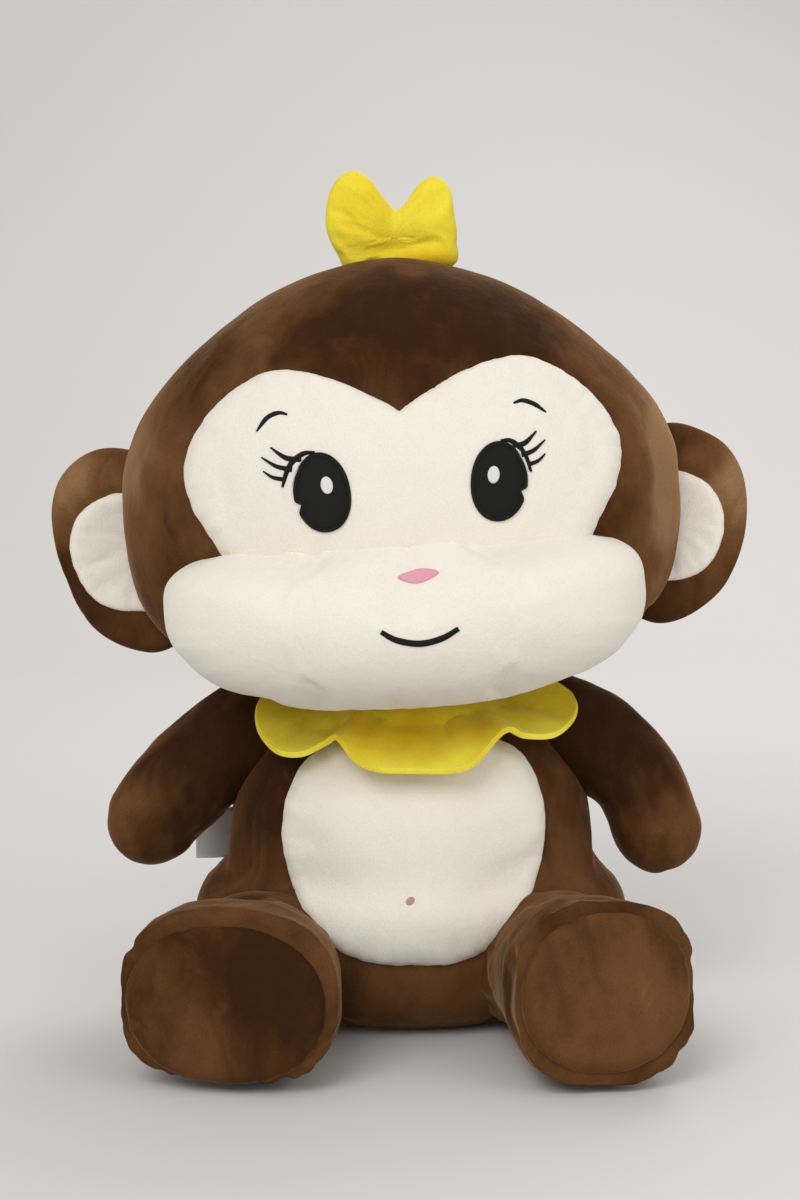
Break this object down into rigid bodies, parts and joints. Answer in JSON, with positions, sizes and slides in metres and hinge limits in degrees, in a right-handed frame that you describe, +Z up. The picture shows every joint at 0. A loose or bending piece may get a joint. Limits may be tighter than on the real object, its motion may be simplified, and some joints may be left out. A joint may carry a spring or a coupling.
{
  "type": "stuffed monkey",
  "caption": "Seated plush monkey with a big tilted head, padded muzzle, round ears, tuft, scalloped collar, belly panel, arms and splayed legs.",
  "frame": {"origin": "centre of the flat seat under the torso, where the toy rests on a shelf", "axes": "+Z up, the toy faces -Y, +X is the toy's own left"},
  "size_m": [0.3356, 0.2476, 0.4006],
  "materials": {
    "brown_plush": "short-pile velvety plush",
    "cream_plush": "short-pile velvety plush",
    "yellow_plush": "short-pile velvety plush",
    "fibre_filling": "loose white polyester fibre",
    "black_thread": "satin stitch",
    "white_thread": "satin stitch",
    "pink_thread": "satin stitch",
    "brown_thread": "sewing thread",
    "tan_thread": "sewing thread",
    "label_satin": "woven satin ribbon"
  },
  "bodies": {
    "torso": {"torso_shell": "brown_plush", "belly_panel": "cream_plush", "torso_stuffing": "fibre_filling", "navel_stitch": "tan_thread", "closing_seam": "brown_thread", "collar": "yellow_plush"},
    "neck_band": {"neck_band": "brown_plush"},
    "neck_stuffing": {"neck_stuffing": "fibre_filling"},
    "head": {"head_shell": "brown_plush", "face_panel": "cream_plush", "head_stuffing": "fibre_filling", "muzzle_shell": "cream_plush", "muzzle_stuffing": "fibre_filling", "nose_embroidery": "pink_thread", "mouth_embroidery": "black_thread", "left_eye": "black_thread", "left_eye_glint": "white_thread", "left_eyelashes": "black_thread", "left_eyebrow": "black_thread", "right_eye": "black_thread", "right_eye_glint": "white_thread", "right_eyelashes": "black_thread", "right_eyebrow": "black_thread"},
    "tuft": {"tuft_shell": "yellow_plush", "tuft_stuffing": "fibre_filling"},
    "care_label": {"care_label": "label_satin"},
    "left_ear": {"left_ear_shell": "brown_plush", "left_ear_lining": "cream_plush", "left_ear_stuffing": "fibre_filling"},
    "left_shoulder": {"left_shoulder_stitching": "brown_thread"},
    "left_arm": {"left_arm_shell": "brown_plush", "left_arm_stuffing": "fibre_filling"},
    "left_hip": {"left_hip_stitching": "brown_thread"},
    "left_leg": {"left_leg_shell": "brown_plush", "left_sole_panel": "brown_plush", "left_leg_stuffing": "fibre_filling"},
    "right_ear": {"right_ear_shell": "brown_plush", "right_ear_lining": "cream_plush", "right_ear_stuffing": "fibre_filling"},
    "right_shoulder": {"right_shoulder_stitching": "brown_thread"},
    "right_arm": {"right_arm_shell": "brown_plush", "right_arm_stuffing": "fibre_filling"},
    "right_hip": {"right_hip_stitching": "brown_thread"},
    "right_leg": {"right_leg_shell": "brown_plush", "right_sole_panel": "brown_plush", "right_leg_stuffing": "fibre_filling"}
  },
  "joints": [
    {"name": "head_turn", "type": "hinge", "parent": "torso", "child": "neck_band", "pos_m": [0, 0, 0.1525], "axis": [0, 0, 1], "range_deg": [-22, 22], "stiffness_Nm_per_rad": 1.5},
    {"name": "head_tilt", "type": "hinge", "parent": "neck_band", "child": "neck_stuffing", "pos_m": [0, 0, 0.1525], "axis": [0, 1, 0], "range_deg": [-3.5, 3.5], "stiffness_Nm_per_rad": 4},
    {"name": "head_nod", "type": "hinge", "parent": "neck_stuffing", "child": "head", "pos_m": [0, 0, 0.1525], "axis": [1, 0, 0], "range_deg": [-6, 5], "stiffness_Nm_per_rad": 4},
    {"name": "tuft_bend", "type": "hinge", "parent": "head", "child": "tuft", "pos_m": [-0.0063, 0.004, 0.36005], "axis": [1, 0, 0], "range_deg": [-14, 14], "stiffness_Nm_per_rad": 0.05},
    {"name": "label_flap", "type": "hinge", "parent": "torso", "child": "care_label", "pos_m": [-0.0865, 0.028, 0.078], "axis": [0, 0, 1], "range_deg": [-20, 20], "stiffness_Nm_per_rad": 0.002},
    {"name": "left_arm_swing", "type": "hinge", "parent": "torso", "child": "left_shoulder", "pos_m": [0.071, 0.002, 0.138], "axis": [1, 0, 0], "range_deg": [-40, 20], "stiffness_Nm_per_rad": 0.3},
    {"name": "left_arm_raise", "type": "hinge", "parent": "left_shoulder", "child": "left_arm", "pos_m": [0.071, 0.002, 0.138], "axis": [0, -1, 0], "range_deg": [0, 35], "stiffness_Nm_per_rad": 0.3},
    {"name": "left_leg_lift", "type": "hinge", "parent": "torso", "child": "left_hip", "pos_m": [0.064, -0.05, 0.036], "axis": [-1, 0, 0], "range_deg": [-9, 9], "stiffness_Nm_per_rad": 0.8},
    {"name": "left_leg_spread", "type": "hinge", "parent": "left_hip", "child": "left_leg", "pos_m": [0.064, -0.05, 0.036], "axis": [0, 0, 1], "range_deg": [-5, 10], "stiffness_Nm_per_rad": 0.8},
    {"name": "left_ear_flap", "type": "hinge", "parent": "head", "child": "left_ear", "pos_m": [0.12459, 0.012, 0.23481], "axis": [-0.061, 0, 0.9981], "range_deg": [-15, 15], "stiffness_Nm_per_rad": 0.06},
    {"name": "right_arm_swing", "type": "hinge", "parent": "torso", "child": "right_shoulder", "pos_m": [-0.071, 0.002, 0.138], "axis": [1, 0, 0], "range_deg": [-40, 20], "stiffness_Nm_per_rad": 0.3},
    {"name": "right_arm_raise", "type": "hinge", "parent": "right_shoulder", "child": "right_arm", "pos_m": [-0.071, 0.002, 0.138], "axis": [0, 1, 0], "range_deg": [0, 35], "stiffness_Nm_per_rad": 0.3},
    {"name": "right_leg_lift", "type": "hinge", "parent": "torso", "child": "right_hip", "pos_m": [-0.064, -0.05, 0.036], "axis": [-1, 0, 0], "range_deg": [-9, 9], "stiffness_Nm_per_rad": 0.8},
    {"name": "right_leg_spread", "type": "hinge", "parent": "right_hip", "child": "right_leg", "pos_m": [-0.064, -0.05, 0.036], "axis": [0, 0, -1], "range_deg": [-5, 10], "stiffness_Nm_per_rad": 0.8},
    {"name": "right_ear_flap", "type": "hinge", "parent": "head", "child": "right_ear", "pos_m": [-0.12893, 0.012, 0.2193], "axis": [-0.061, 0, 0.9981], "range_deg": [-15, 15], "stiffness_Nm_per_rad": 0.06}
  ]
}
